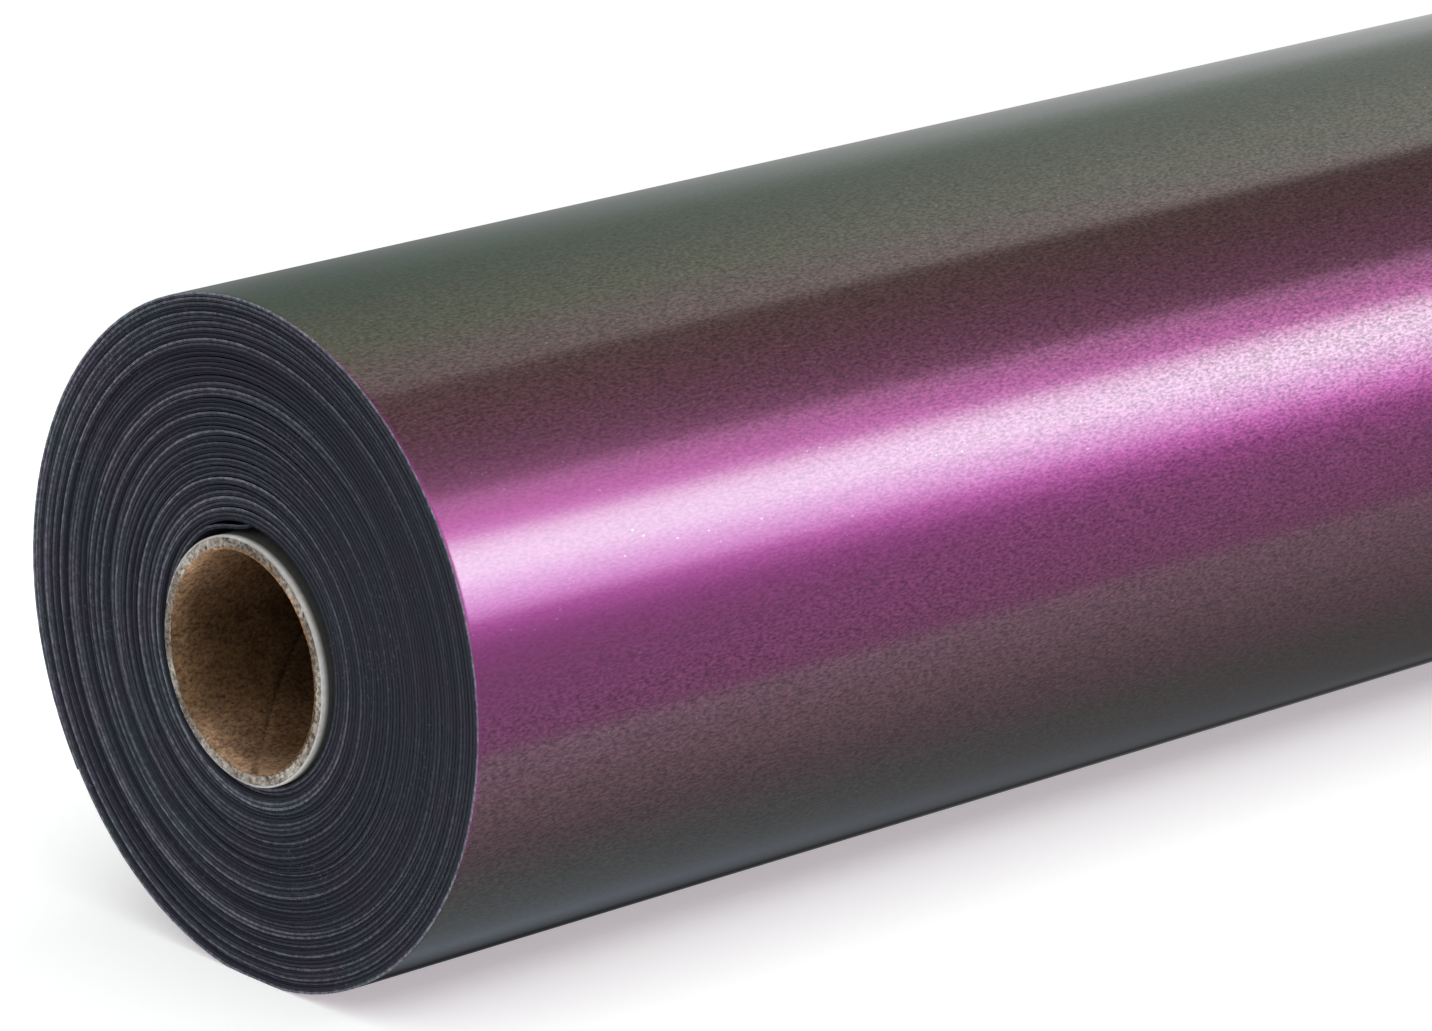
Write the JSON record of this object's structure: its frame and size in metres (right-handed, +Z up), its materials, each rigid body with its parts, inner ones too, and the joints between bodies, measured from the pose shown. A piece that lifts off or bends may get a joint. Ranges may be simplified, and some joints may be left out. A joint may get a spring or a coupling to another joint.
{
  "type": "roll of self-adhesive film",
  "caption": "Wide roll of colour-shift self-adhesive film with its release liner, wound on a spiral-wound cardboard core and lying on its side.",
  "frame": {"origin": "on the core's axis, at the roll's mid-length", "axes": "+X along the core's axis, from the end that the picture shows to the far end; +Z up, with the roll lying on the flat on its underside; the tail's edge is on the +Y side"},
  "size_m": [0.614, 0.1592, 0.1577],
  "materials": {
    "kraft_paper": "matte",
    "chipboard": "matte",
    "wrap_paper": "satin",
    "liner_paper": "satin",
    "pearl_film": "gloss",
    "clear_tape": "gloss"
  },
  "bodies": {
    "root": {"core_inner_ply": "kraft_paper", "core_board": "chipboard", "core_outer_ply": "wrap_paper", "core_tapes": "clear_tape", "release_liner": "liner_paper", "colour_film": "pearl_film", "tail_tapes": "clear_tape"}
  },
  "joints": []
}
